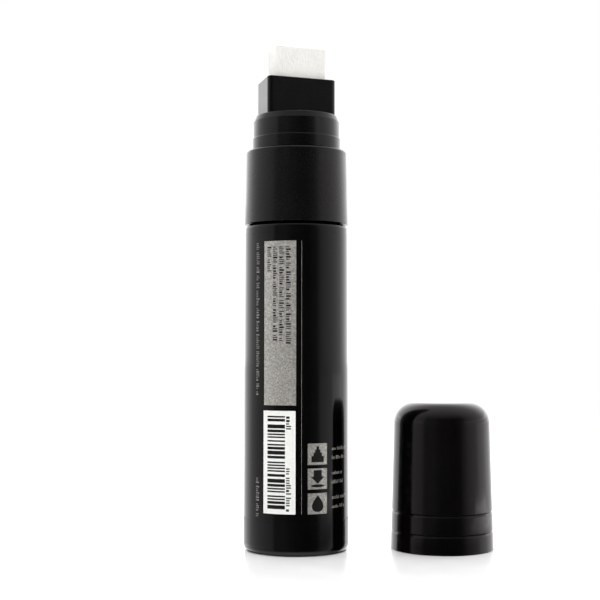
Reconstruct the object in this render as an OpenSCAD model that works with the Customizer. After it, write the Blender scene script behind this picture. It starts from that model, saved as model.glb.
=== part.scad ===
// Broad block-nib pump marker with its push-on cap standing beside it.
// Units are millimetres. Origin: centre of the barrel's base. +Z runs up the
// barrel towards the nib, +X points to the cap.

/* [Barrel] */
// Height of the barrel from its foot to its shoulder
barrel_h = 92.2; // [86:0.1:98]
// Outer radius of the straight band at the foot
foot_r = 15.0; // [14.8:0.05:15.4]
// Outer radius just above the foot band
wall_r0 = 14.88; // [14.8:0.01:14.95]
// Outer radius just under the shoulder
shoulder_r = 14.65; // [14.5:0.05:14.8]
// Radius of the ink reservoir
reservoir_r = 13.0; // [12.2:0.1:13.2]
// Thickness of the barrel's floor
floor_t = 2.2; // [1.8:0.1:3]
// Width of the foot's rounded outer edge
foot_round = 1.4; // [1:0.1:2]
// Height of the foot's rounded outer edge
foot_rise = 2.2; // [1.6:0.1:3.2]
// Radius of the bore in the threaded neck
neck_bore_r = 10.6; // [10.55:0.01:10.7]

/* [Screw thread] */
// Mean radius of the neck's rounded thread
thread_r = 12.6; // [12.5:0.05:12.65]
// Half of the thread's depth
thread_e = 0.45; // [0.3:0.05:0.5]
// Rise of one turn
thread_pitch = 3.0; // [2.6:0.1:3.2]
// Radial play between the two threads
thread_play = 0.25; // [0.2:0.01:0.28]

/* [Collar] */
// Height of the screw collar
collar_h = 21.0; // [20.5:0.1:22]
// Outer radius at the collar's lower edge
collar_r0 = 14.75; // [14.6:0.05:15]
// Outer radius at the collar's upper edge
collar_r1 = 14.30; // [14.2:0.01:14.6]
// Shadow gap between the barrel's shoulder and the collar
collar_gap = 0.3; // [0.3:0.1:1]

/* [Head] */
// Radius of the lower neck band, which the cap grips
band_r = 12.65; // [12.62:0.01:12.66]
// Radius of the upper neck band
upper_band_r = 12.42; // [12.38:0.01:12.45]
// Width of the nib tower along the nib's broad side
tower_w = 20.6; // [19:0.1:21]
// Thickness of the nib tower
tower_t = 10.0; // [9:0.1:10.2]
// Rounding of the tower's upright corners
tower_round = 1.2; // [0.6:0.1:2]
// Height of the nib tower above the neck
tower_h = 10.7; // [9:0.1:13]
// Turn of the nib's broad side about the barrel's axis
nib_yaw = 21; // [0:1:90]
// Slant of the tower's rim and of the nib's tip, from the front down to the rear
tip_slant = 6; // [0:1:15]

/* [Nib] */
// Broad side of the nib
nib_w = 15.0; // [13:0.1:15.2]
// Thin side of the nib
nib_t = 7.0; // [5:0.1:7.2]
// Length of the nib
nib_l = 29.9; // [28:0.1:30.4]
// Length of nib that stands out of the tower
nib_out = 9.1; // [7.6:0.1:9.6]

/* [Pump valve] */
// Radius of the valve stem
stem_r = 1.9; // [1.6:0.1:2.2]
// Radius of the valve seat's hole
seat_r = 3.0; // [2.8:0.1:3.2]
// Radius of the poppet
poppet_r = 4.5; // [4.2:0.1:4.7]
// Diameter of the spring's wire
wire_d = 0.5; // [0.4:0.05:0.6]
// Mean radius of the spring's coils
coil_r = 3.4; // [3.1:0.05:3.6]
// Number of coils
coils = 7; // [5:1:8]

/* [Cap] */
// Height of the cap
cap_h = 41.9; // [40:0.1:44]
// Outer radius at the cap's rim
cap_r0 = 14.65; // [14.5:0.05:14.9]
// Outer radius under the cap's rounded top
cap_r1 = 13.62; // [13.6:0.01:14.2]
// Rounding of the cap's top edge
cap_round = 6.0; // [4:0.1:6]
// Distance of the cap's axis from the barrel's axis, to the side
cap_x = 41.8; // [31:0.1:60]
// Distance of the cap's axis from the barrel's axis, to the rear
cap_y = 1.6; // [-20:0.1:20]

/* [Label] */
// Height of the label's lower edge
label_z0 = 9.2; // [8:0.1:14]
// Distance from the label's upper edge to the shoulder
label_top_gap = 2.8; // [1.5:0.1:6]
// Thickness of the label film
label_t = 0.1; // [0.06:0.01:0.12]
// Arc that the label covers
label_arc = 356; // [300:1:358]

/* [Hidden] */
$fn = 96;

// ---- heights that follow from the stack-up ----
z_rim = barrel_h + 12.6;            // top of the barrel's threaded neck
z_th0 = barrel_h + 0.5;             // neck thread, lower end
z_th1 = z_rim - 1.1;                // neck thread, upper end
z_col0 = barrel_h + collar_gap;     // collar, lower face
z_col1 = z_col0 + collar_h;         // collar, upper face
z_gas0 = z_rim + 0.05;              // gasket on the neck's rim
z_gas1 = z_gas0 + 1.0;
z_hou1 = z_gas1 + 1.35;             // valve housing's flange
z_fl1 = z_hou1 + 2.6;               // head's flange
z_lip = z_fl1 + 0.2;                // underside of the collar's lip
z_band = z_col1 + 0.2;              // start of the exposed neck band
z_step = z_col1 + 3.7;              // step between the neck bands
z_cham = z_col1 + 8.5;              // neck's top chamfer
z_neck = z_col1 + 10.1;             // neck's top
z_tow = z_neck + tower_h;           // tower's top
z_nib1 = z_tow + nib_out;           // nib's tip
z_nib0 = z_nib1 - nib_l;            // nib's tail
z_seat = z_hou1 - 11.2;             // underside of the valve seat
z_pop1 = z_seat - 0.85;             // poppet, upper face
z_pop0 = z_pop1 - 2.2;              // poppet, lower face
z_skirt = z_seat - 8.0;             // lower end of the housing's skirt
z_cage = z_skirt - 9.0;             // underside of the valve cage
cage_floor = 1.5;
recess = 0.12;                      // label recess in the barrel
glue = 0.06;                        // adhesive layer under the label

// radius of the barrel's drafted wall at height z
function wall_r(z) = wall_r0 + (shoulder_r - wall_r0) * max(0, z - label_z0) / (barrel_h - label_z0);
// radius of the cap's drafted side at height z
function cap_side(z) = cap_r0 + (cap_r1 - cap_r0) * z / (cap_h - 0.2 - cap_round);
// points of an arc in a profile
function arc(x, z, r, a0, a1, n = 8) = [for (i = [0:n]) let (a = a0 + (a1 - a0) * i / n) [x + r * cos(a), z + r * sin(a)]];
// corner points of a rounded rectangle
function rounded_rect(w, t, r, n = 6) = [for (q = [0:3]) for (i = [0:n])
    let (a = 90 * q + 90 * i / n,
         x = (q == 0 || q == 3 ? 1 : -1) * (w / 2 - r),
         y = (q < 2 ? 1 : -1) * (t / 2 - r)) [x + r * cos(a), y + r * sin(a)]];

// A rounded single-start right-hand thread, as a closed solid between z0 and z1.
// The root keeps its radius and the crest fades in over the length run at both ends.
module thread_core(r, e, z0, z1, run = 0, nz = 10, na = 40) {
    n = ceil((z1 - z0) / thread_pitch * nz);
    function depth(z) = run > 0 ? e * min(1, (z - z0) / run, (z1 - z) / run) : e;
    pts = [for (i = [0:n]) let (z = z0 + (z1 - z0) * i / n) for (j = [0:na - 1])
        let (a = 360 * j / na, q = r - e + max(0.02, depth(z)) * (1 + cos(a - 360 * z / thread_pitch)))
        [q * cos(a), q * sin(a), z]];
    sides = [for (i = [0:n - 1]) for (j = [0:na - 1]) let (k = (j + 1) % na)
        each [[i * na + j, (i + 1) * na + j, (i + 1) * na + k], [i * na + j, (i + 1) * na + k, i * na + k]]];
    polyhedron(pts, concat(sides, [[for (j = [0:na - 1]) j]], [[for (j = [na - 1:-1:0]) n * na + j]]), convexity = 6);
}

// Barrel: the ink reservoir, with a recessed base, a label recess and a threaded neck.
module barrel() {
    color([0.02, 0.02, 0.022])
    difference() {
        union() {
            rotate_extrude()
                polygon(concat(
                    [[0, 0.9], [9.2, 0.9], [10.1, 0]],
                    [for (a = [-90:9:0]) [foot_r + foot_round * (cos(a) - 1), foot_rise * (1 + sin(a))]],
                    [[foot_r, label_z0], [wall_r(label_z0) - recess, label_z0],
                     [wall_r(barrel_h - label_top_gap) - recess, barrel_h - label_top_gap],
                     [wall_r(barrel_h - label_top_gap), barrel_h - label_top_gap]],
                    arc(shoulder_r - 1.0, barrel_h - 1.0, 1.0, 0, 90, 6),
                    [[12.0, barrel_h], [12.0, z_rim - 0.3], [11.7, z_rim], [0, z_rim]]));
            thread_core(thread_r, thread_e, z_th0, z_th1, 1.0);
        }
        rotate_extrude()
            polygon(concat([[0, floor_t]],
                arc(reservoir_r - 1.5, floor_t + 1.5, 1.5, -90, 0, 4),
                [[reservoir_r, barrel_h - 5], [neck_bore_r, barrel_h - 2], [neck_bore_r, z_rim + 1], [0, z_rim + 1]]));
    }
}

// Printed film label, wrapped round the barrel with its seam at the rear.
module label_film() {
    z1 = barrel_h - label_top_gap - 0.2;
    z0 = label_z0 + 0.2;
    color([0.03, 0.03, 0.033])
    rotate([0, 0, 90 + (360 - label_arc) / 2])
        rotate_extrude(angle = label_arc)
            polygon([[wall_r(z0) - recess + glue, z0], [wall_r(z0) - recess + glue + label_t, z0],
                     [wall_r(z1) - recess + glue + label_t, z1], [wall_r(z1) - recess + glue, z1]]);
}

// Screw collar: a union nut that pulls the head down on the neck's rim. Its lip
// has a bore with a radius of 12.72 round the head's neck.
module collar() {
    color([0.05, 0.05, 0.052])
    difference() {
        rotate_extrude()
            polygon(concat([[12.72, z_col0], [collar_r0 - 0.1, z_col0], [collar_r0, z_col0 + 0.1]],
                arc(collar_r1 - 0.9, z_col1 - 0.9, 0.9, 0, 90, 6), [[12.72, z_col1]]));
        rotate_extrude()
            polygon([[0, z_col0 - 1], [13.5, z_col0 - 1], [13.5, z_col0 + 0.5], [13.0, z_col0 + 1.0], [0, z_col0 + 1.0]]);
        translate([0, 0, z_rim - 0.4]) cylinder(r = 13.35, h = z_lip - z_rim + 0.4);
        thread_core(thread_r + thread_play, thread_e, z_col0 + 0.2, z_rim + 0.2);
    }
}

// Space above a plane that falls from the front edge y at height z towards the rear.
module above_slant(y, z) {
    translate([0, y, z]) rotate([-tip_slant, 0, 0]) translate([-20, -20, 0]) cube([40, 60, 20]);
}

// Head: flange, stepped neck and nib tower in one moulding.
module nib_holder() {
    color([0.025, 0.025, 0.027])
    difference() {
        union() {
            rotate_extrude()
                polygon([[0, z_hou1], [13.05, z_hou1], [13.05, z_fl1], [12.35, z_fl1], [12.35, z_band],
                    [band_r, z_band], [band_r, z_step - 0.2], [upper_band_r, z_step],
                    [upper_band_r, z_cham], [11.45, z_neck], [0, z_neck]]);
            rotate([0, 0, nib_yaw]) translate([0, 0, z_neck - 1])
                linear_extrude(tower_h + 1) polygon(rounded_rect(tower_w, tower_t, tower_round));
        }
        translate([0, 0, z_hou1 - 1]) cylinder(r = 9.8, h = z_col1 + 1.9 - z_hou1 + 1);
        rotate([0, 0, nib_yaw]) translate([-nib_w / 2 - 0.2, -nib_t / 2 - 0.2, z_hou1])
            cube([nib_w + 0.4, nib_t + 0.4, z_tow - z_hou1 + 1]);
        rotate([0, 0, nib_yaw]) above_slant(-tower_t / 2, z_tow);
    }
}

// Nib: a block of bonded fibre.
module nib() {
    color([0.95, 0.95, 0.93])
    rotate([0, 0, nib_yaw])
    difference() {
        translate([-nib_w / 2, -nib_t / 2, z_nib0]) cube([nib_w, nib_t, nib_l]);
        above_slant(-nib_t / 2, z_nib1);
    }
}

// Gasket between the neck's rim and the valve housing's flange.
module neck_gasket() {
    color([0.25, 0.25, 0.26])
    rotate_extrude() polygon([[10.75, z_gas0], [12.3, z_gas0], [12.3, z_gas1], [10.75, z_gas1]]);
}

// Valve housing: flange, cup, seat and the skirt that takes the cage.
module valve_housing() {
    color([0.9, 0.9, 0.87])
    rotate_extrude()
        polygon([[seat_r, z_seat], [5.8, z_seat], [5.8, z_skirt], [7.2, z_skirt], [7.2, z_seat - 0.6], [10.4, z_seat - 0.6],
            [10.4, z_gas1], [13.0, z_gas1], [13.0, z_hou1], [8.9, z_hou1], [8.9, z_seat + 2], [seat_r + 0.8, z_seat + 2], [seat_r, z_seat + 1.2]]);
}

// Valve stem: perforated pusher under the nib's tail, rod, poppet and spring guide.
module valve_stem() {
    color([0.86, 0.86, 0.84])
    difference() {
        rotate_extrude()
            polygon([[0, z_pop0 - 2.5], [2.0, z_pop0 - 2.5], [2.3, z_pop0 - 2.2], [2.3, z_pop0], [poppet_r, z_pop0], [poppet_r, z_pop1],
                [stem_r, z_pop1], [stem_r, z_nib0 - 3.2], [3.4, z_nib0 - 1.7], [8.3, z_nib0 - 1.7], [8.3, z_nib0 - 0.05], [0, z_nib0 - 0.05]]);
        for (a = [45:90:315]) rotate([0, 0, nib_yaw + a]) translate([5.8, 0, z_nib0 - 3]) cylinder(r = 1.4, h = 4, $fn = 32);
    }
}

// Seal washer on the poppet.
module poppet_seal() {
    color([0.12, 0.12, 0.13])
    rotate_extrude() polygon([[stem_r + 0.05, z_pop1 + 0.02], [poppet_r - 0.2, z_pop1 + 0.02], [poppet_r - 0.2, z_pop1 + 0.8], [stem_r + 0.05, z_pop1 + 0.8]]);
}

// Closed-end compression spring between the cage's floor and the poppet.
module valve_spring() {
    z0 = z_cage + cage_floor + 0.02;
    z1 = z_pop0 - 0.02;
    seg = 16;
    side = 8;
    n = coils * seg;
    rise = z1 - z0 - wire_d;
    dead = wire_d * 1.06;
    // height of the wire's centre after t turns: one closed coil at each end
    function wire_z(t) = z0 + wire_d / 2 + (t < 1 ? dead * t
        : t > coils - 1 ? rise - dead * (coils - t)
        : dead + (rise - 2 * dead) * (t - 1) / (coils - 2));
    pts = [for (i = [0:n]) let (t = i / seg, a = 360 * t) for (j = [0:side - 1])
        let (b = 360 * j / side, q = coil_r + wire_d / 2 * cos(b))
        [q * cos(a), q * sin(a), wire_z(t) + wire_d / 2 * sin(b)]];
    skin = [for (i = [0:n - 1]) for (j = [0:side - 1]) let (k = (j + 1) % side)
        each [[i * side + j, (i + 1) * side + k, (i + 1) * side + j], [i * side + j, i * side + k, (i + 1) * side + k]]];
    color([0.75, 0.76, 0.78])
    polyhedron(pts, concat(skin, [[for (j = [side - 1:-1:0]) j]], [[for (j = [0:side - 1]) n * side + j]]), convexity = 8);
}

// Valve cage: windowed basket that carries the spring, pushed into the housing's skirt.
module valve_cage() {
    color([0.9, 0.9, 0.87])
    difference() {
        rotate_extrude()
            polygon([[1.4, z_cage], [5.6, z_cage], [5.6, z_skirt - 1.2], [7.2, z_skirt - 1.2], [7.2, z_skirt], [5.75, z_skirt],
                [5.75, z_skirt + 1.4], [5.5, z_skirt + 1.7], [4.7, z_skirt + 1.7], [4.7, z_cage + cage_floor], [1.4, z_cage + cage_floor]]);
        for (a = [0:90:270]) rotate([0, 0, a]) translate([3.5, -1.5, z_cage + 2.6]) cube([4, 3, z_skirt - z_cage - 5]);
    }
}

// Cap: drafted shell with two fine grooves above its rim and a post that backs the liner.
module cap() {
    zr = cap_h - 0.2 - cap_round;
    color([0.025, 0.025, 0.027])
    translate([cap_x, cap_y, 0])
    rotate_extrude()
        polygon(concat(
            [[13.05, 0], [cap_r0 - 0.15, 0], [cap_side(0.15), 0.15]],
            [for (z = [5.2, 10.75]) each [[cap_side(z - 0.5), z - 0.5], [cap_side(z) - 0.19, z],
                [cap_side(z) - 0.36, z + 0.08], [cap_side(z + 0.4), z + 0.4]]],
            arc(cap_r1 - cap_round, zr, cap_round, 0, 88, 12),
            [[0, cap_h], [0, 34.15], [3.0, 34.15], [3.2, cap_h - 1.8]],
            [[9.55, cap_h - 2.0]], arc(9.55, cap_h - 5.0, 3.0, 80, 0, 5),
            [[12.55, 4.7], [12.75, 4.5], [12.75, 0.3]]));
}

// Liner: inner cup that seals on the neck's chamfer.
module cap_liner() {
    color([0.85, 0.85, 0.83])
    translate([cap_x, cap_y, 0])
    rotate_extrude()
        polygon([[11.65, 9.9], [12.1, 9.3], [12.45, 9.3], [12.45, 33.0], [11.4, 34.1], [0, 34.1], [0, 32.9], [11.0, 32.9], [11.65, 32.2]]);
}

barrel();
label_film();
collar();
nib_holder();
nib();
neck_gasket();
valve_housing();
valve_stem();
poppet_seal();
valve_spring();
valve_cage();
cap();
cap_liner();
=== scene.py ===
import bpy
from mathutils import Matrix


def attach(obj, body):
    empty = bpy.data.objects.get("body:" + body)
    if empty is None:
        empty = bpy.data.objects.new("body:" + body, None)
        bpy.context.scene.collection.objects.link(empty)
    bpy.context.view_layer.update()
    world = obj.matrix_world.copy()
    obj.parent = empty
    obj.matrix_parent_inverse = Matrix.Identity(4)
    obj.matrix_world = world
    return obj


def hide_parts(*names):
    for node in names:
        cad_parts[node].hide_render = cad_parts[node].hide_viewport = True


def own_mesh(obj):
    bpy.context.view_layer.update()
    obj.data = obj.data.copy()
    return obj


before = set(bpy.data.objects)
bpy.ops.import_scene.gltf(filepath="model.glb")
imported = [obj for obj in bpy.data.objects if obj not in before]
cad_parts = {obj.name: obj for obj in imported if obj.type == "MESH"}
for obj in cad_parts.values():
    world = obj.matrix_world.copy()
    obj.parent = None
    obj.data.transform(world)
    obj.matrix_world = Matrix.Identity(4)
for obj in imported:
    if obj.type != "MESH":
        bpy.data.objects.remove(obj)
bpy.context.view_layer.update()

import math
import random

import bmesh
import bpy
import numpy as np
from mathutils import Vector, noise

MM = 0.001
TAU = 2 * math.pi
scene = bpy.context.scene

# ------------------------------------------------------------------ sizes (mm)
Z_SHOULDER = 92.2
Z_RIM = 104.8
PITCH = 3.0
LABEL_Z = (9.4, 89.2)
YAW = math.radians(21.0)
SLANT = math.tan(math.radians(6.0))
CAP = (41.8, 1.6)


def wall_r(z):
    """Radius of the barrel's drafted wall at height z."""
    return 14.88 - 0.23 * max(0.0, z - 9.2) / (Z_SHOULDER - 9.2)


def film_r(z):
    """Radius of the label's outer face at height z."""
    return wall_r(z) + 0.04


def cap_r(z):
    """Radius of the cap's drafted side at height z."""
    return 14.65 - 1.03 * z / 35.7


# --------------------------------------------------------------- mesh building
def profile(corners, closed=False, near=0.07, step=6.0):
    """Points of a profile from corners (r, z, rounding): arcs at rounded corners, a row close to each end of a straight run, and more rows on long runs."""
    n = len(corners)
    marks = []  # (point, whether the run to the next point is part of an arc)
    for i, corner in enumerate(corners):
        p = np.array(corner[:2], float)
        rad = corner[2] if len(corner) > 2 else 0.0
        if rad <= 0 or (not closed and i in (0, n - 1)):
            marks.append((p, False))
            continue
        a = np.array(corners[i - 1][:2], float) - p
        b = np.array(corners[(i + 1) % n][:2], float) - p
        la, lb = np.linalg.norm(a), np.linalg.norm(b)
        a, b = a / la, b / lb
        half = math.acos(max(-1.0, min(1.0, float(a @ b)))) / 2
        t = min(rad / math.tan(half), 0.49 * la, 0.49 * lb)
        rad = t * math.tan(half)
        mid = (a + b) / np.linalg.norm(a + b)
        c = p + mid * rad / math.sin(half)
        s, e = p + a * t - c, p + b * t - c
        a0, a1 = math.atan2(s[1], s[0]), math.atan2(e[1], e[0])
        turn = (a1 - a0 + math.pi) % TAU - math.pi
        k = max(3, math.ceil(abs(turn) / (math.pi / 2) * (6 + 5 * min(rad, 3.0))))
        for j in range(k + 1):
            g = a0 + turn * j / k
            marks.append((c + rad * np.array([math.cos(g), math.sin(g)]), j < k))
    out = []
    total = len(marks)
    for i, (p, arc) in enumerate(marks):
        out.append((float(p[0]), float(p[1])))
        if i == total - 1 and not closed:
            break
        q = marks[(i + 1) % total][0]
        length = float(np.linalg.norm(q - p))
        if arc or length < 4 * near:
            continue
        d = (q - p) / length
        inner = [near]
        m = int((length - 2 * near) // step)
        inner += [near + (length - 2 * near) * j / (m + 1) for j in range(1, m + 1)]
        inner += [length - near]
        out += [tuple(float(x) for x in p + d * s) for s in inner]
    return out


def turned(rows, seg, cx=0.0, cy=0.0):
    """Rings of a turned piece from rows (radius or radii, z)."""
    ang = np.arange(seg) * TAU / seg
    rings = []
    for r, z in rows:
        if np.isscalar(r) and r < 1e-6:
            rings.append([(cx, cy, z)])
        else:
            rr = np.broadcast_to(r, (seg,))
            rings.append([(cx + q * math.cos(a), cy + q * math.sin(a), z) for q, a in zip(rr, ang)])
    return rings


def skin(rings, closed=False):
    """Vertices and faces over rings of equal length. A ring of one point is a pole."""
    verts, start = [], []
    for ring in rings:
        start.append(len(verts))
        verts.extend(ring)
    pairs = list(zip(range(len(rings) - 1), range(1, len(rings))))
    if closed:
        pairs.append((len(rings) - 1, 0))
    faces = []
    for a, b in pairs:
        na, nb, sa, sb = len(rings[a]), len(rings[b]), start[a], start[b]
        n = max(na, nb)
        for j in range(n):
            k = (j + 1) % n
            if na == 1:
                faces.append((sa, sb + k, sb + j))
            elif nb == 1:
                faces.append((sa + j, sa + k, sb))
            else:
                faces.append((sa + j, sa + k, sb + k, sb + j))
    return verts, faces


def piece(name, verts, faces, body, mat, node=None, slot=None, sharp=33.0):
    """A mesh object in the part's frame, smooth but for its real edges, that rides on a body."""
    mesh = bpy.data.meshes.new(name)
    mesh.from_pydata((np.asarray(verts, float) * MM).tolist(), [], faces)
    bm = bmesh.new()
    bm.from_mesh(mesh)
    bmesh.ops.recalc_face_normals(bm, faces=bm.faces)
    bm.to_mesh(mesh)
    bm.free()
    mesh.polygons.foreach_set("use_smooth", [True] * len(mesh.polygons))
    mesh.set_sharp_from_angle(angle=math.radians(sharp))
    mesh.materials.append(mat)
    obj = bpy.data.objects.new(name, mesh)
    scene.collection.objects.link(obj)
    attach(obj, body)
    if node:
        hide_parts(node)
    return obj


# ------------------------------------------------------------------- materials
class Nodes:
    """Short-hand for one material's node tree."""

    def __init__(self, name):
        self.mat = bpy.data.materials.new(name)
        self.mat.use_nodes = True
        self.tree = self.mat.node_tree
        self.tree.nodes.clear()
        out = self.add("ShaderNodeOutputMaterial")
        self.bsdf = self.add("ShaderNodeBsdfPrincipled")
        self.link(self.bsdf.outputs["BSDF"], out.inputs["Surface"])
        self.coord = self.add("ShaderNodeTexCoord").outputs["Object"]

    def add(self, kind, **inputs):
        node = self.tree.nodes.new(kind)
        for key, value in inputs.items():
            node.inputs[key.replace("_", " ")].default_value = value
        return node

    def link(self, a, b):
        self.tree.links.new(a, b)

    def stretched(self, x, y, z):
        """Object coordinates scaled by axis."""
        m = self.add("ShaderNodeMapping")
        m.inputs["Scale"].default_value = (x, y, z)
        self.link(self.coord, m.inputs["Vector"])
        return m.outputs["Vector"]

    def noise(self, scale, detail=3.0, rough=0.55, coord=None):
        n = self.add("ShaderNodeTexNoise", Scale=scale, Detail=detail, Roughness=rough)
        self.link(coord or self.coord, n.inputs["Vector"])
        return n.outputs["Fac"]

    def ramp(self, fac, stops):
        r = self.add("ShaderNodeValToRGB")
        els = r.color_ramp.elements
        while len(els) < len(stops):
            els.new(0.5)
        for el, (pos, col) in zip(els, stops):
            el.position = pos
            el.color = (*col, 1.0) if hasattr(col, "__len__") else (col, col, col, 1.0)
        self.link(fac, r.inputs["Fac"])
        return r.outputs["Color"]

    def span(self, fac, lo, hi, a=0.3, b=0.7):
        m = self.add("ShaderNodeMapRange")
        m.inputs["From Min"].default_value, m.inputs["From Max"].default_value = a, b
        m.inputs["To Min"].default_value, m.inputs["To Max"].default_value = lo, hi
        self.link(fac, m.inputs["Value"])
        return m.outputs["Result"]

    def math(self, op, a, b):
        m = self.add("ShaderNodeMath")
        m.operation = op
        for sock, v in zip(m.inputs, (a, b)):
            if isinstance(v, (int, float)):
                sock.default_value = v
            else:
                self.link(v, sock)
        return m.outputs["Value"]

    def bump(self, height, strength, distance):
        b = self.add("ShaderNodeBump", Strength=strength, Distance=distance)
        self.link(height, b.inputs["Height"])
        self.link(b.outputs["Normal"], self.bsdf.inputs["Normal"])

    def set(self, socket, value):
        self.bsdf.inputs[socket].default_value = value


def moulded(name, dark, light, rough, grain, depth, peel=0.25, spread=0.05, ior=1.5, tint=(1.0, 0.97, 0.98)):
    """Black moulded plastic: faint flow marks in the colour, fine surface grain, and gloss that varies a little."""
    n = Nodes(name)
    flow = n.noise(90, 4.0, 0.6, n.stretched(1.0, 1.0, 0.35))
    n.link(n.ramp(flow, [(0.35, dark), (0.7, light)]), n.bsdf.inputs["Base Color"])
    fine = n.noise(grain, 2.0)
    slow = n.noise(160, 3.0)
    gloss = n.math("ADD", n.span(slow, rough - spread / 2, rough + spread / 2), n.span(fine, -spread / 2, spread / 2))
    n.link(gloss, n.bsdf.inputs["Roughness"])
    height = n.math("ADD", fine, n.math("MULTIPLY", n.noise(420, 2.0), peel))
    n.bump(height, 1.0, depth)
    n.set("IOR", ior)
    n.set("Specular Tint", (*tint, 1.0))
    return n.mat


def ink(name, colours, rough, grain, depth, metal=0.0):
    """Printed ink: a grain of pigment specks in colour and gloss. metal is the share of metal flakes."""
    n = Nodes(name)
    speck = n.noise(grain, 3.0, 0.7)
    n.link(n.ramp(speck, [(0.32, colours[0]), (0.5, colours[1]), (0.68, colours[2])]), n.bsdf.inputs["Base Color"])
    n.link(n.span(n.noise(grain * 0.4, 2.0), rough - 0.08, rough + 0.08), n.bsdf.inputs["Roughness"])
    n.bump(speck, 0.6, depth)
    n.set("IOR", 1.45)
    n.set("Metallic", metal)
    return n.mat


def natural(name, colours, rough, sss=0.0):
    """Unpigmented moulded plastic, a little milky."""
    n = Nodes(name)
    cloud = n.noise(260, 4.0)
    n.link(n.ramp(cloud, [(0.3, colours[0]), (0.7, colours[1])]), n.bsdf.inputs["Base Color"])
    n.link(n.span(n.noise(1500, 2.0), rough - 0.05, rough + 0.05), n.bsdf.inputs["Roughness"])
    n.bump(n.noise(1200, 3.0), 0.6, 6e-6)
    if sss:
        n.set("Subsurface Weight", sss)
        n.set("Subsurface Radius", (0.0012, 0.0011, 0.0009))
    n.set("IOR", 1.49)
    return n.mat


def rubber(name):
    n = Nodes(name)
    n.link(n.ramp(n.noise(700, 4.0), [(0.3, 0.018), (0.7, 0.04)]), n.bsdf.inputs["Base Color"])
    n.link(n.span(n.noise(1800, 2.0), 0.62, 0.8), n.bsdf.inputs["Roughness"])
    n.bump(n.noise(2600, 3.0), 0.8, 1.2e-5)
    return n.mat


def steel(name):
    n = Nodes(name)
    drawn = n.noise(900, 3.0, 0.6, n.stretched(1.0, 1.0, 6.0))
    n.link(n.ramp(drawn, [(0.3, (0.42, 0.43, 0.45)), (0.7, (0.66, 0.67, 0.69))]), n.bsdf.inputs["Base Color"])
    n.link(n.span(drawn, 0.2, 0.36), n.bsdf.inputs["Roughness"])
    n.bump(drawn, 0.5, 4e-6)
    n.set("Metallic", 1.0)
    return n.mat


def felt(name):
    """Bonded fibre: short fine fibres along the nib, tiny pores between them and a soft sheen."""
    n = Nodes(name)
    fibre = n.noise(2600, 4.0, 0.65, n.stretched(1.0, 1.0, 0.16))
    cross = n.noise(1700, 4.0, 0.7)
    slow = n.noise(180, 3.0)
    mix = n.math("ADD", n.math("MULTIPLY", fibre, 0.6), n.math("MULTIPLY", cross, 0.4))
    tone = n.math("ADD", n.math("MULTIPLY", mix, 0.8), n.math("MULTIPLY", slow, 0.2))
    n.link(n.ramp(tone, [(0.3, (0.69, 0.682, 0.648)), (0.46, (0.78, 0.772, 0.74)), (0.62, (0.83, 0.823, 0.793))]), n.bsdf.inputs["Base Color"])
    n.link(n.span(cross, 0.85, 1.0), n.bsdf.inputs["Roughness"])
    n.bump(mix, 0.9, 7e-5)
    n.set("Sheen Weight", 0.15)
    n.set("Sheen Roughness", 0.5)
    n.set("Subsurface Weight", 0.2)
    n.set("Subsurface Radius", (0.0006, 0.0006, 0.0006))
    n.set("IOR", 1.3)
    return n.mat


MAT = {
    "barrel": moulded("barrel_gloss", (0.0006, 0.0005, 0.0006), (0.0014, 0.0012, 0.0013), 0.1, 2400, 3e-6),
    "film": moulded("label_gloss", (0.0006, 0.0005, 0.0006), (0.0013, 0.0011, 0.0012), 0.09, 2000, 2.5e-6),
    "collar": moulded("collar_satin", (0.0008, 0.0007, 0.0008), (0.002, 0.0017, 0.0019), 0.25, 3200, 9e-6, spread=0.08, tint=(1.0, 0.95, 0.98)),
    "head": moulded("head_gloss", (0.0008, 0.0007, 0.0008), (0.002, 0.0017, 0.0019), 0.14, 2600, 4e-6, tint=(1.0, 0.95, 0.99)),
    "cap": moulded("cap_semigloss", (0.0006, 0.0005, 0.0005), (0.0016, 0.0013, 0.0014), 0.14, 2600, 5e-6, tint=(1.0, 0.92, 0.94)),
    "silver": ink("silver_ink", ((0.345, 0.333, 0.309), (0.58, 0.562, 0.521), (0.86, 0.837, 0.779)), 0.4, 2200, 4e-6, 0.7),
    "faint": ink("faint_ink", ((0.09, 0.087, 0.081), (0.16, 0.155, 0.144), (0.25, 0.243, 0.227)), 0.5, 2200, 4e-6),
    "white": ink("white_ink", ((0.76, 0.765, 0.735), (0.82, 0.825, 0.795), (0.86, 0.865, 0.835)), 0.45, 1800, 3e-6),
    "black": ink("black_ink", (0.002, 0.004, 0.008), 0.4, 2200, 3e-6),
    "nib": felt("nib_felt"),
    "valve": natural("valve_natural", ((0.74, 0.74, 0.7), (0.84, 0.84, 0.81)), 0.42, 0.15),
    "liner": natural("liner_natural", ((0.66, 0.67, 0.65), (0.78, 0.79, 0.77)), 0.4, 0.25),
    "rubber": rubber("seal_rubber"),
    "steel": steel("spring_wire"),
}


# ---------------------------------------------------------------------- barrel
def neck_thread(radius, depth, z0, z1, run, seg, per_turn=16):
    """Rows of a rounded right-hand thread. Its crest fades over the length run at both ends."""
    ang = np.arange(seg) * TAU / seg
    rows = []
    count = math.ceil((z1 - z0) / PITCH * per_turn)
    for i in range(count + 1):
        z = z0 + (z1 - z0) * i / count
        d = max(0.02, depth * min(1.0, (z - z0) / run, (z1 - z) / run)) if run else depth
        rows.append((radius - depth + d * (1 + np.cos(ang - TAU * z / PITCH)), z))
    return rows


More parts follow.
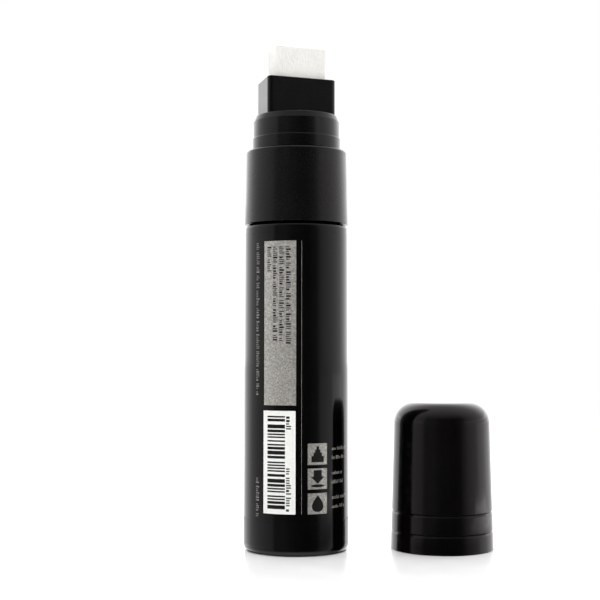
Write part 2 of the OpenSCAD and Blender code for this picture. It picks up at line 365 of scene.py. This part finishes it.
SEG = 288
low, high = LABEL_Z
rows = profile([(0, 0.9), (9.2, 0.9, 0.35), (10.1, 0, 0.25), (13.6, 0)])[:-1]
for i in range(19):
    g = math.radians(5 * i - 90)
    rows.append((15.0 + 1.4 * (math.cos(g) - 1), 2.2 * (1 + math.sin(g))))
rows += profile([
    (15.0, 2.27), (15.0, 9.2, 0.03),
    (wall_r(9.2) - 0.12, 9.2, 0.03), (wall_r(89.4) - 0.12, 89.4, 0.03), (wall_r(89.4), 89.4),
    (14.65, Z_SHOULDER - 0.2, 1.0), (12.0, Z_SHOULDER - 0.2)])[:-2]
rows += profile([(13.56, Z_SHOULDER - 0.2), (12.95, 92.75, 0.05), (12.95, 93.0, 0.05), (12.1, 93.0, 0.05), (12.1, 93.03)])
rows += neck_thread(12.6, 0.45, 93.05, 103.7, 1.0, SEG)
rows += profile([
    (12.0, 103.74), (12.0, Z_RIM, 0.3), (10.6, Z_RIM, 0.2), (10.6, 90.2, 0.6), (13.0, 87.2, 0.8),
    (13.0, 2.2, 1.5), (0, 2.2)])
piece("barrel_shell", *skin(turned(rows, SEG)), "barrel", MAT["barrel"], "barrel", "barrel_plastic")

# ----------------------------------------------------------------------- label
rings = []
arc = 356
for k in range(arc * 1 + 1):
    a = math.radians(92 + k)
    loop = [(wall_r(low) - 0.06, low), (film_r(low), low)]
    loop += [(film_r(low + (high - low) * t), low + (high - low) * t) for t in (0.001, 0.25, 0.5, 0.75, 0.999)]
    loop += [(film_r(high), high), (wall_r(high) - 0.06, high)]
    rings.append([(r * math.cos(a), r * math.sin(a), z) for r, z in loop])
verts, faces = skin(rings)
n = len(rings[0])
faces += [tuple(range(n)), tuple(range(len(verts) - n, len(verts)))]
piece("label_wrap", verts, faces, "barrel", MAT["film"], "label_film", "label_film")


def printed(name, shapes, mat, inner, outer, grid=0.4):
    """Thin closed patches of ink on the label from flat outlines (u, z): u in mm round the label from the side that faces the viewer, +u to the right."""
    bm = bmesh.new()
    for outline in shapes:
        bm.faces.new([bm.verts.new((u, 0.0, z)) for u, z in outline])
    us = [v.co.x for v in bm.verts]
    for i in range(math.floor(min(us) / grid), math.ceil(max(us) / grid) + 1):
        bmesh.ops.bisect_plane(bm, geom=bm.verts[:] + bm.edges[:] + bm.faces[:], plane_co=(i * grid + 0.013, 0, 0), plane_no=(1, 0, 0), dist=1e-5)
    base = list(bm.verts)
    up = bmesh.ops.extrude_face_region(bm, geom=bm.faces[:])
    top = {v for v in up["geom"] if isinstance(v, bmesh.types.BMVert)}
    for v in base + list(top):
        u, z = v.co.x, v.co.z
        r = film_r(z) + (outer if v in top else inner)
        g = u / 14.8 * (1.0 + 0.0002 * (z - 12.0))
        v.co = (r * math.sin(g), -r * math.cos(g), z)
    bm.verts.index_update()
    verts = [tuple(v.co) for v in bm.verts]
    faces = [tuple(v.index for v in f.verts) for f in bm.faces]
    bm.free()
    return piece(name, verts, faces, "barrel", mat, slot="label_film")


def arc_mm(deg):
    return math.radians(deg) * 14.8


def rect(u0, u1, z0, z1, r=0.0, n=4):
    """Outline of a rectangle with rounded corners."""
    if r <= 0:
        return [(u0, z0), (u1, z0), (u1, z1), (u0, z1)]
    out = []
    for cx, cz, a in ((u1 - r, z0 + r, -90), (u1 - r, z1 - r, 0), (u0 + r, z1 - r, 90), (u0 + r, z0 + r, 180)):
        out += [(cx + r * math.cos(math.radians(a + 90 * i / n)), cz + r * math.sin(math.radians(a + 90 * i / n))) for i in range(n + 1)]
    return out


def strokes(lines, seed, weight=1.0):
    """Rows of plain ticks in groups. A line is (start, end, place across, size, along u or z), and weight makes the ticks wider."""
    rng = random.Random(seed)
    out = []
    for start, end, across, size, along in lines:
        at = start
        sign = 1 if end > start else -1
        left = rng.randint(3, 8)
        while (end - at) * sign > 0:
            tall = size * rng.choice((1.0, 0.72, 0.72, 1.0, 0.6))
            wide = size * rng.choice((0.2, 0.2, 0.36)) * weight
            lo, hi = sorted((at, at + sign * wide))
            base = across - size / 2
            out.append(rect(lo, hi, base, base + tall) if along == "u" else rect(base, base + tall, lo, hi))
            at += sign * (wide + size * 0.23)
            left -= 1
            if not left:
                at += sign * size * 0.4
                left = rng.randint(3, 8)
    return out


silver = [
    rect(arc_mm(-36.2), arc_mm(0.1), 41.4, 86.8),
    rect(arc_mm(5.95) - 0.045, arc_mm(5.95) + 0.045, 11.6, 86.8),
]
ICON_U = (arc_mm(12.6), arc_mm(35.0))
ICON_Z = ((25.1, 30.95), (18.4, 24.1), (11.63, 17.35))
silver += [rect(*ICON_U, z0, z1, 0.15) for z0, z1 in ICON_Z]
printed("print_silver", silver, MAT["silver"], -0.012, 0.012)
printed("print_white", [rect(arc_mm(-36.9), arc_mm(-0.4), 11.65, 39.9)], MAT["white"], -0.012, 0.012)

# bars in a made-up order, and ticks on both fields
black = []
z = 38.5
i = 0
while z > 13.3:
    wide = (0.44, 0.74, 0.44, 1.05, 0.74, 0.44, 0.74)[(i * i + 3 * i) % 7]
    gap = (0.34, 0.34, 0.6, 0.34, 0.34, 0.85)[(5 * i + i // 3) % 6]
    black.append(rect(arc_mm(-31.75), arc_mm(-11.6), max(12.9, z - wide), z))
    z -= wide + gap
    i += 1
black += strokes([(85.2, end, arc_mm(u), 1.3, "z") for u, end in ((-8.2, 57.9), (-15.6, 59.0), (-22.9, 59.6), (-29.8, 77.6))], 11)
black += strokes([(38.4, 34.9, arc_mm(-7.8), 1.35, "z"), (24.2, 12.9, arc_mm(-7.8), 1.35, "z")], 5, 1.3)

mid = sum(ICON_U) / 2
z0 = ICON_Z[0][0]
black.append([(mid + x, z0 + y) for x, y in (
    (-1.85, 0.7), (1.85, 0.7), (1.85, 2.4), (1.25, 2.4), (1.25, 3.35), (0.8, 3.35), (0.8, 4.2), (0.4, 4.2), (0.4, 4.95), (-0.4, 5.1), (-0.4, 4.2), (-0.8, 4.2), (-0.8, 3.35), (-1.25, 3.35), (-1.25, 2.4), (-1.85, 2.4))])
z0 = ICON_Z[1][0]
black.append([(mid + x, z0 + y) for x, y in (
    (0.0, 1.5), (2.05, 3.45), (1.2, 3.45), (1.2, 5.25), (-1.2, 5.25), (-1.2, 3.45), (-2.05, 3.45))])
black.append([(mid + 2.05 * math.cos(TAU * k / 32), z0 + 0.95 + 0.42 * math.sin(TAU * k / 32)) for k in range(32)])
z0 = ICON_Z[2][0]
drop = []
for k in range(48):
    t = TAU * k / 48
    drop.append((mid + 2.3 * math.sin(t) * math.sin(t / 2) ** 1.15, z0 + 2.88 + 2.3 * math.cos(t)))
black.append(drop)
printed("print_black", black, MAT["black"], -0.008, 0.02)

captions = []
for (z0, z1), (first, second) in zip(ICON_Z, ((66, 68), (59, 60), (68, 64))):
    z1 = z0 + 5.98
    captions += [(arc_mm(42), arc_mm(first), z0 + (z1 - z0) * 0.72, 1.0, "u"), (arc_mm(42), arc_mm(second), z0 + (z1 - z0) * 0.30, 1.0, "u")]
printed("print_captions", strokes(captions, 3, 0.8), MAT["silver"], -0.012, 0.012)
printed("print_side", strokes([(86.4, 44.0, arc_mm(-45.7), 1.2, "z"), (21.2, 10.8, arc_mm(-45.7), 1.2, "z")], 8), MAT["faint"], -0.012, 0.012)

# ---------------------------------------------------------------------- collar
SEG = 240
rows = profile([(13.0, 93.56), (13.0, 93.5), (13.5, 93.0, 0.1), (13.5, 92.5, 0.12), (14.75, 92.5, 0.05), (14.3, 113.5, 0.9),
                (12.72, 113.5, 0.12), (12.72, 110.0, 0.1), (13.35, 110.0, 0.1), (13.35, 104.5)])
thread = neck_thread(12.85, 0.45, 93.6, 104.4, 0, SEG)
rings = turned(rows + thread[::-1], SEG)
piece("collar_ring", *skin(rings, closed=True), "collar", MAT["collar"], "collar", "collar_plastic")


# ------------------------------------------------------------------------ head
def rounded_rect(w, t, r, n=8):
    """Corner points of a rounded rectangle."""
    out = []
    for sx, sy, a in ((1, 1, 0), (-1, 1, 90), (-1, -1, 180), (1, -1, 270)):
        for i in range(n + 1):
            g = math.radians(a + 90 * i / n)
            out.append((sx * (w / 2 - r) + r * math.cos(g), sy * (t / 2 - r) + r * math.sin(g)))
    return out


def reach(g, w, t, r):
    """Distance from the centre to a rounded rectangle's edge in direction g."""
    c, s = abs(math.cos(g)), abs(math.sin(g))
    d = min(w / 2 / c if c > 1e-9 else 1e9, t / 2 / s if s > 1e-9 else 1e9)
    x, y = d * c, d * s
    cx, cy = w / 2 - r, t / 2 - r
    if x > cx and y > cy:
        b = c * cx + s * cy
        d = b + math.sqrt(max(0.0, b * b - (cx * cx + cy * cy - r * r)))
    return d


TOWER = (20.6, 10.0, 1.2)
SLOT = (15.4, 7.4, 0.35)
angles = [TAU * i / 200 for i in range(200)]
angles += [math.atan2(y, x) % TAU for x, y in rounded_rect(*TOWER, 10)]
angles += [math.atan2(y, x) % TAU for x, y in rounded_rect(*SLOT, 5)]
angles = sorted(angles)
angles = [a for i, a in enumerate(angles) if i == 0 or a - angles[i - 1] > math.radians(0.12)]


def head_ring(radius, height):
    """Ring over the shared angles: radius and height are numbers or functions of the angle."""
    out = []
    for g in angles:
        r = radius(g) if callable(radius) else radius
        x, y = r * math.cos(g), r * math.sin(g)
        z = height(y) if callable(height) else height
        out.append((x * math.cos(YAW) - y * math.sin(YAW), x * math.sin(YAW) + y * math.cos(YAW), z))
    return out


def outline(shape, grow):
    w, t, r = shape
    return lambda g: reach(g, w + 2 * grow, t + 2 * grow, max(0.05, r + grow))


def rim_z(drop):
    return lambda y: 134.3 - (y + 5.0) * SLANT - drop


neck = profile([(9.8, 107.2), (13.05, 107.2, 0.2), (13.05, 109.8, 0.2), (12.35, 109.8, 0.12), (12.35, 113.7, 0.06), (12.65, 113.7, 0.08),
                (12.65, 117.0, 0.1), (12.42, 117.2, 0.1), (12.42, 121.8, 0.7), (11.68, 123.6, 0.4), (11.3, 123.6)])
rings = [head_ring(r, z) for r, z in neck]
base_round, rim_round = 0.08, 0.4
for i in range(6):
    g = math.pi / 2 * i / 5
    rings.append(head_ring(outline(TOWER, base_round * (1 - math.sin(g))), 123.6 + base_round * (1 - math.cos(g))))
for t in (0.01, 0.25, 0.5, 0.75, 0.99):
    z_low = 123.6 + base_round
    rings.append(head_ring(outline(TOWER, 0.0), lambda y, t=t: z_low + (rim_z(rim_round)(y) - z_low) * t))
for i in range(7):
    g = math.pi / 2 * i / 6
    rings.append(head_ring(outline(TOWER, -rim_round * (1 - math.cos(g))), rim_z(rim_round * (1 - math.sin(g)))))
rings.append(head_ring(outline(TOWER, -rim_round - 0.06), rim_z(0.0)))
rings.append(head_ring(outline(SLOT, 0.24), rim_z(0.0)))
for i in range(5):
    g = math.pi / 2 * i / 4
    rings.append(head_ring(outline(SLOT, 0.18 * (1 - math.sin(g))), rim_z(0.18 * (1 - math.cos(g)))))
for z in (131.0, 127.0, 123.0, 119.0, 115.5):
    rings.append(head_ring(outline(SLOT, 0.0), z))
for r, z in profile([(9.2, 115.4), (9.8, 115.4, 0.3), (9.8, 107.3)])[1:]:
    rings.append(head_ring(r, z))
piece("head_moulding", *skin(rings, closed=True), "head", MAT["head"], "nib_holder", "head_plastic")

# ------------------------------------------------------------------------- nib
NIB = (15.0, 7.0, 113.5, 143.4)


def spread(lo, hi, r, step):
    """Coordinates across a side: close together in the rounded edges."""
    edge = [r * i / 4 for i in range(5)]
    m = max(2, round((hi - lo - 2 * r) / step))
    return [lo + e for e in edge] + [lo + r + (hi - lo - 2 * r) * i / m for i in range(1, m)] + [hi - e for e in reversed(edge)]


def block(w, t, z0, z1, r, step, fine_from):
    """Closed grid of a block with rounded edges. Upright rows are close together above fine_from."""
    xs, ys = spread(-w / 2, w / 2, r, step), spread(-t / 2, t / 2, r, step)
    zs = [z for z in spread(z0, fine_from, r, 1.5) if z < fine_from - r] + [z for z in spread(fine_from - r, z1, r, step) if z > fine_from]
    zs = sorted(set([z0] + zs + [z1]))
    index, verts, faces = {}, [], []

    def vert(i, j, k):
        key = (i, j, k)
        if key not in index:
            index[key] = len(verts)
            p = np.array([xs[i], ys[j], zs[k]])
            inner = np.array([np.clip(p[0], -w / 2 + r, w / 2 - r), np.clip(p[1], -t / 2 + r, t / 2 - r), np.clip(p[2], z0 + r, z1 - r)])
            d = p - inner
            length = np.linalg.norm(d)
            if length > 1e-9:
                p = inner + d * r / length
            verts.append(p)
        return index[key]

    nx, ny, nz = len(xs) - 1, len(ys) - 1, len(zs) - 1
    for i in range(nx):
        for j in range(ny):
            for k in (0, nz):
                faces.append((vert(i, j, k), vert(i + 1, j, k), vert(i + 1, j + 1, k), vert(i, j + 1, k)))
    for k in range(nz):
        for i in range(nx):
            for j in (0, ny):
                faces.append((vert(i, j, k), vert(i + 1, j, k), vert(i + 1, j, k + 1), vert(i, j, k + 1)))
        for j in range(ny):
            for i in (0, nx):
                faces.append((vert(i, j, k), vert(i, j + 1, k), vert(i, j + 1, k + 1), vert(i, j, k + 1)))
    return np.array(verts), faces


verts, faces = block(*NIB, 0.4, 0.22, 132.0)
w, t, z0, z1 = NIB
for v in verts:
    x, y, z = v
    v[2] = z0 + (z - z0) * (z1 - (y + t / 2) * SLANT - z0) / (z1 - z0)
    fray = max(0.0, min(1.0, (v[2] - 133.5) / 2.0))
    rough = noise.noise(Vector((x * 2.3, y * 2.3, v[2] * 0.9))) + 0.6 * noise.noise(Vector((x * 6.1, y * 6.1, v[2] * 2.4)))
    side = np.array([x / w, y / t, max(0.0, (z - z1 + 1.0) / 4)])
    length = np.linalg.norm(side)
    if length > 1e-6:
        v += side / length * (0.045 * rough - 0.05) * fray
    v[0], v[1] = v[0] * math.cos(YAW) - v[1] * math.sin(YAW), v[0] * math.sin(YAW) + v[1] * math.cos(YAW)
piece("felt_nib", verts, faces, "nib", MAT["nib"], "nib", "nib_fibre", sharp=70.0)

# ------------------------------------------------------------------------- cap
SEG = 288
rows = [(0, 41.9), (1.5, 41.895), (3.2, 41.87), (5.0, 41.82), (6.6, 41.765)]
draft = math.atan(1.03 / 35.7)
dome = 6.0 * math.cos(draft)
for i in range(36):
    g = math.radians(88) + (draft - math.radians(88)) * i / 36
    rows.append((7.62 + dome * math.cos(g), 35.7 + dome * math.sin(g)))
top = 35.7 + dome * math.sin(draft)
side = [(cap_r(top), top)]
for z in (10.75, 5.2):
    side += [(cap_r(z + 0.4), z + 0.4, 0.02), (cap_r(z) - 0.36, z + 0.08, 0.03), (cap_r(z) - 0.19, z, 0.03), (cap_r(z - 0.5), z - 0.5, 0.3)]
rows += profile(side + [(14.65, 0, 0.18), (13.05, 0, 0.08), (12.75, 0.3, 0.1), (12.75, 4.5, 0.1), (12.55, 4.7, 0.1), (12.55, 39.9, 3.0),
                        (3.2, 40.1, 0.4), (3.0, 34.15, 0.2), (0, 34.15)])
piece("cap_shell", *skin(turned(rows, SEG, *CAP)), "cap", MAT["cap"], "cap", "cap_plastic")

# ---------------------------------------------------------------------- spring
rings = []
z0, z1, wire, coil, turns, side = 80.52, 92.93, 0.25, 3.4, 7, 14
rise, dead = z1 - z0 - 2 * wire, 2 * wire * 1.06
for i in range(turns * 48 + 1):
    tt = i / 48
    if tt < 1:
        zc = dead * tt
    elif tt > turns - 1:
        zc = rise - dead * (turns - tt)
    else:
        zc = dead + (rise - 2 * dead) * (tt - 1) / (turns - 2)
    a = TAU * tt
    rings.append([((coil + wire * math.cos(b)) * math.cos(a), (coil + wire * math.cos(b)) * math.sin(a), z0 + wire + zc + wire * math.sin(b))
                  for b in (TAU * j / side for j in range(side))])
verts, faces = skin(rings)
faces += [tuple(range(side)), tuple(range(len(verts) - side, len(verts)))]
spring = piece("spring_coil", verts, faces, "head", MAT["steel"], "valve_spring", "spring_steel")
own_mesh(spring)

# -------------------------------------------------- pieces that keep their shape
for name, key in (("valve_housing", "valve"), ("valve_stem", "valve"), ("valve_cage", "valve"), ("cap_liner", "liner"), ("neck_gasket", "rubber"), ("poppet_seal", "rubber")):
    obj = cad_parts[name]
    obj.data.materials.clear()
    obj.data.materials.append(MAT[key])

# ------------------------------------------------------------- floor and lights
mesh = bpy.data.meshes.new("floor")
mesh.from_pydata([(-3, -3, 0), (3, -3, 0), (3, 3, 0), (-3, 3, 0)], [], [(0, 1, 2, 3)])
floor = bpy.data.objects.new("floor", mesh)
scene.collection.objects.link(floor)
n = Nodes("floor_white")
n.link(n.ramp(n.noise(14, 3.0), [(0.3, 0.9), (0.7, 0.93)]), n.bsdf.inputs["Base Color"])
n.link(n.span(n.noise(60, 2.0), 0.18, 0.24), n.bsdf.inputs["Roughness"])
n.set("IOR", 1.45)
mesh.materials.append(n.mat)
# seen in a glossy surface the floor is a mirror at a low angle, as a polished sheet is, and white from higher up
mirror = n.add("ShaderNodeBsdfGlossy", Roughness=0.08)
blend = n.add("ShaderNodeMixShader")
ray = n.add("ShaderNodeLightPath")
low = n.span(n.add("ShaderNodeLayerWeight", Blend=0.5).outputs["Facing"], 0.0, 1.0, 0.14, 0.5)
n.link(n.math("MULTIPLY", ray.outputs["Is Glossy Ray"], low), blend.inputs["Fac"])
n.link(n.bsdf.outputs["BSDF"], blend.inputs[1])
n.link(mirror.outputs["BSDF"], blend.inputs[2])
reach_of = n.add("ShaderNodeVectorMath")
reach_of.operation = "LENGTH"
n.link(n.coord, reach_of.inputs[0])
# painted shade: in front of the cap, near the barrel's foot, the mirror's colour is dimmer, a darker patch painted into
# what the floor reflects
place = n.add("ShaderNodeSeparateXYZ")
n.link(n.coord, place.inputs[0])
painted_shade = n.math("MULTIPLY", n.span(place.outputs["X"], 0.0, 1.0, 0.0, 0.015), n.span(place.outputs["X"], 1.0, 0.0, 0.075, 0.095))
painted_shade = n.math("MULTIPLY", painted_shade, n.span(place.outputs["Y"], 1.0, 0.0, -0.02, -0.008))
painted_shade = n.math("MULTIPLY", painted_shade, n.span(reach_of.outputs["Value"], 0.64, 0.0, 0.036, 0.114))
n.link(n.math("SUBTRACT", 0.8, n.math("MULTIPLY", painted_shade, 0.8)), mirror.inputs["Color"])
# further off the floor runs into the white of the backdrop
far = n.math("MULTIPLY", n.span(reach_of.outputs["Value"], 0.0, 1.0, 0.3, 0.65), ray.outputs["Is Camera Ray"])
sheet = n.add("ShaderNodeMixShader")
n.link(far, sheet.inputs["Fac"])
n.link(blend.outputs["Shader"], sheet.inputs[1])
n.link(n.add("ShaderNodeEmission", Color=(1.0, 1.0, 1.0, 1.0)).outputs["Emission"], sheet.inputs[2])
n.link(sheet.outputs["Shader"], next(x for x in n.tree.nodes if x.type == "OUTPUT_MATERIAL").inputs["Surface"])

world = bpy.data.worlds.new("studio")
scene.world = world
world.use_nodes = True
tree = world.node_tree
tree.nodes.clear()


def wnode(kind, **props):
    node = tree.nodes.new(kind)
    for key, value in props.items():
        setattr(node, key, value)
    return node


def wire(a, b):
    tree.links.new(a, b)


def fade(value, a, b, lo=0.0, hi=1.0):
    """Smooth change of a value from lo at a to hi at b."""
    m = wnode("ShaderNodeMapRange", interpolation_type="SMOOTHSTEP")
    for key, v in (("From Min", a), ("From Max", b), ("To Min", lo), ("To Max", hi)):
        m.inputs[key].default_value = v
    wire(value, m.inputs["Value"])
    return m.outputs["Result"]


def calc(op, a, b):
    m = wnode("ShaderNodeMath", operation=op)
    for sock, v in zip(m.inputs, (a, b)):
        if isinstance(v, (int, float)):
            sock.default_value = v
        else:
            wire(v, sock)
    return m.outputs["Value"]


def blend_to(fac, a, b):
    """a where fac is 0 and b where it is 1."""
    return calc("ADD", calc("MULTIPLY", a, calc("SUBTRACT", 1.0, fac)), calc("MULTIPLY", b, fac))


coord = wnode("ShaderNodeTexCoord")
split = wnode("ShaderNodeSeparateXYZ")
wire(coord.outputs["Generated"], split.inputs[0])
flat = wnode("ShaderNodeVectorMath", operation="MULTIPLY")
flat.inputs[1].default_value = (1, 1, 0)
unit = wnode("ShaderNodeVectorMath", operation="NORMALIZE")
wire(coord.outputs["Generated"], flat.inputs[0])
wire(flat.outputs[0], unit.inputs[0])
around = wnode("ShaderNodeSeparateXYZ")
wire(unit.outputs[0], around.inputs[0])
turn = fade(around.outputs["Y"], 1.0, -1.0)
turn.node.interpolation_type = "LINEAR"


def band(steps):
    """A third of the light that comes from each direction round the object: azimuth 0 is the viewer's side."""
    ramp = wnode("ShaderNodeValToRGB")
    els = ramp.color_ramp.elements
    while len(els) < len(steps):
        els.new(0.5)
    for el, (az, v) in zip(els, steps):
        el.position = (math.cos(math.radians(az)) + 1) / 2
        el.color = (v / 3, v / 3, v / 3, 1)
    wire(turn, ramp.inputs["Fac"])
    return ramp.outputs["Color"]


left = band([(180, 2.0), (145, 1.72), (127, 1.38), (113, 0.89), (95, 0.67), (77, 0.54), (53, 0.37), (47, 0.15), (25, 0.14), (0, 0.06)])
right = band([(180, 2.0), (145, 1.8), (127, 1.4), (113, 0.95), (95, 0.72), (77, 0.56), (58, 0.36), (46, 0.1), (25, 0.03), (0, 0.05)])
ring = calc("MULTIPLY", blend_to(fade(around.outputs["X"], -0.1, 0.1), left, right), 3.0)
# the side sheets are brighter from about ten degrees up
height = calc("MULTIPLY", fade(split.outputs["Z"], 0.166, 0.184), fade(split.outputs["Z"], 0.24, 0.212))
lift = calc("MULTIPLY", height, fade(around.outputs["Y"], 0.9, 0.78, 0.0, 0.63))
front = calc("MULTIPLY", calc("MULTIPLY", height, fade(around.outputs["X"], 0.3, 0.5)), fade(around.outputs["Y"], -0.3, -0.6, 0.0, 1.67))
ring = calc("MULTIPLY", ring, calc("ADD", calc("ADD", lift, front), 1.0))
sky = fade(split.outputs["Y"], -0.7, 0.2, 0.5, 0.85)
light = blend_to(fade(split.outputs["Z"], 0.42, 1.0), ring, sky)
light = blend_to(fade(split.outputs["Z"], -0.25, -0.7), light, 0.5)
back = wnode("ShaderNodeBackground")
path = wnode("ShaderNodeLightPath")
wire(blend_to(path.outputs["Is Camera Ray"], light, 1.0), back.inputs["Color"])
wire(back.outputs[0], wnode("ShaderNodeOutputWorld").inputs["Surface"])


def softbox(name, at, aim, size, watts):
    light = bpy.data.lights.new(name, "AREA")
    light.shape = "DISK"
    light.size = size
    light.energy = watts
    obj = bpy.data.objects.new(name, light)
    obj.location = at
    obj.rotation_euler = (Vector(aim) - Vector(at)).to_track_quat("-Z", "Y").to_euler()
    obj.visible_glossy = False
    obj.visible_camera = False
    scene.collection.objects.link(obj)


softbox("top_light", (0.02, -0.1, 0.9), (0.02, 0.0, 0.0), 0.9, 8.2)
softbox("front_light", (-0.3, -0.83, 0.45), (0.0, 0.0, 0.1), 0.6, 2.9)


def card(name, at, aim, size, glow):
    """A small bright sheet. glow is its brightness."""
    light = bpy.data.lights.new(name, "AREA")
    light.shape = "RECTANGLE"
    light.size, light.size_y = size
    light.energy = glow * math.pi * size[0] * size[1]
    obj = bpy.data.objects.new(name, light)
    obj.location = at
    obj.rotation_euler = aim
    obj.visible_camera = False
    scene.collection.objects.link(obj)


# sheets on the table and beside it, on the cap's side
card("low_far", (0.175, 0.002, 0.0015), (math.pi, 0.0, 0.0), (0.024, 0.085), 1.9)
card("low_near", (0.129, 0.002, 0.0015), (math.pi, 0.0, 0.0), (0.068, 0.085), 0.45)
card("low_strip", (0.1335, 0.0148, 0.0015), (math.pi, 0.0, math.radians(15)), (0.06, 0.034), 0.8)
card("side_sheet", (0.191, 0.033, 0.023), (math.pi / 2, 0.0, math.radians(103.5)), (0.109, 0.046), 0.33)
card("side_faint", (0.173, -0.071, 0.023), (math.pi / 2, 0.0, math.radians(58.8)), (0.117, 0.046), 0.08)

# ---------------------------------------------------------------------- camera
cam = bpy.data.cameras.new("camera")
cam.sensor_width = 36.0
cam.lens = 75.3
cam.clip_start = 0.01
cam_obj = bpy.data.objects.new("camera", cam)
cam_obj.location = (0.00109, -0.360, 0.05833)
cam_obj.rotation_euler = (math.radians(92.0), math.radians(-0.06), 0.0)
scene.collection.objects.link(cam_obj)
scene.camera = cam_obj
scene.view_settings.view_transform = "Standard"
